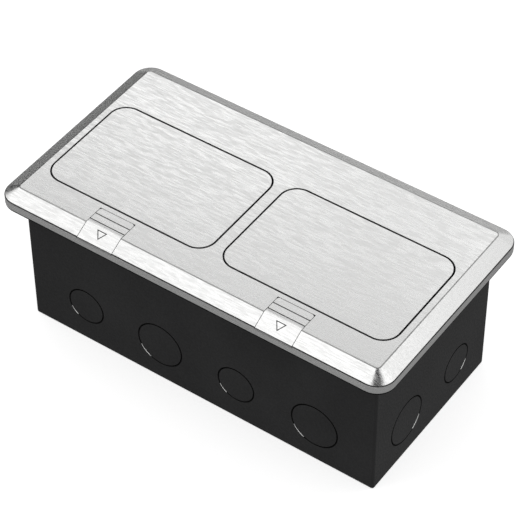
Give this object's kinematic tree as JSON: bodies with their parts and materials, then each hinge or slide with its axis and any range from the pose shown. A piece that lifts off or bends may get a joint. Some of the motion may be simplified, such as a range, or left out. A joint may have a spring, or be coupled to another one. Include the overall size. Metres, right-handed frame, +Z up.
{
  "type": "floor socket box",
  "caption": "Recessed floor box: black steel wiring box under a bevelled brushed steel cover with pop-up lids that carry duplex power sockets, each held by a slide latch.",
  "frame": {"origin": "centre of the underside of the wiring box, on its lowest plane", "axes": "+X along the cover's length, -Y towards the latches, +Z up through the lids"},
  "size_m": [0.24, 0.13, 0.095],
  "materials": {
    "black_paint": "matt black powder coat on sheet steel",
    "black_rubber": "black moulded gasket rubber",
    "body_plastic": "black moulded thermoset",
    "brass": "plain brass",
    "bright_steel": "ground steel rod",
    "die_casting": "grey die casting, as cast",
    "face_plastic": "white moulded thermoplastic",
    "green_plate": "green passivated earthing screw",
    "nickel_plate": "nickel plated screw",
    "spring_steel": "spring steel wire",
    "stainless": "stainless steel, brushed along X",
    "stainless_latch": "stainless steel, brushed along X",
    "zinc_plate": "bright zinc plated steel"
  },
  "bodies": {
    "base": {"box_screws": "zinc_plate", "earth_screw": "green_plate", "floor_gasket": "black_rubber", "floor_plate": "stainless", "frame_nuts": "zinc_plate", "hinge_rod_left": "bright_steel", "hinge_rod_right": "bright_steel", "inner_frame": "die_casting", "junction_box": "black_paint", "latch_spring_left": "spring_steel", "latch_spring_right": "spring_steel", "lid_seal_left": "black_rubber", "lid_seal_right": "black_rubber", "rod_clip_left": "spring_steel", "rod_clip_right": "spring_steel", "torsion_springs_left": "spring_steel", "torsion_springs_right": "spring_steel"},
    "left_lid": {"contacts_left": "brass", "earth_terminal_left": "green_plate", "hot_terminals_left": "brass", "lid_left": "stainless", "lid_nuts_left": "zinc_plate", "neutral_terminals_left": "nickel_plate", "receptacle_body_left": "body_plastic", "receptacle_face_left": "face_plastic", "receptacle_screws_left": "zinc_plate", "receptacle_strap_left": "zinc_plate", "socket_carrier_left": "zinc_plate", "striker_left": "zinc_plate"},
    "right_lid": {"contacts_right": "brass", "earth_terminal_right": "green_plate", "hot_terminals_right": "brass", "lid_nuts_right": "zinc_plate", "lid_right": "stainless", "neutral_terminals_right": "nickel_plate", "receptacle_body_right": "body_plastic", "receptacle_face_right": "face_plastic", "receptacle_screws_right": "zinc_plate", "receptacle_strap_right": "zinc_plate", "socket_carrier_right": "zinc_plate", "striker_right": "zinc_plate"},
    "left_latch": {"latch_bolt_left": "zinc_plate", "latch_screw_left": "zinc_plate", "latch_slider_left": "stainless_latch"},
    "right_latch": {"latch_bolt_right": "zinc_plate", "latch_screw_right": "zinc_plate", "latch_slider_right": "stainless_latch"}
  },
  "joints": [
    {"name": "lid_hinge_left", "type": "hinge", "parent": "base", "child": "left_lid", "pos_m": [-0.0555, 0.0109, 0.091], "axis": [-1, 0, 0], "range_deg": [0, 60]},
    {"name": "lid_hinge_right", "type": "hinge", "parent": "base", "child": "right_lid", "pos_m": [0.0555, 0.0109, 0.091], "axis": [-1, 0, 0], "range_deg": [0, 60]},
    {"name": "latch_slide_left", "type": "slide", "parent": "base", "child": "left_latch", "axis": [0, -1, 0], "range_m": [0, 0.004], "stiffness_N_per_m": 300, "springref_m": -0.002, "deforming": ["latch_spring_left"]},
    {"name": "latch_slide_right", "type": "slide", "parent": "base", "child": "right_latch", "axis": [0, -1, 0], "range_m": [0, 0.004], "stiffness_N_per_m": 300, "springref_m": -0.002, "deforming": ["latch_spring_right"]}
  ]
}
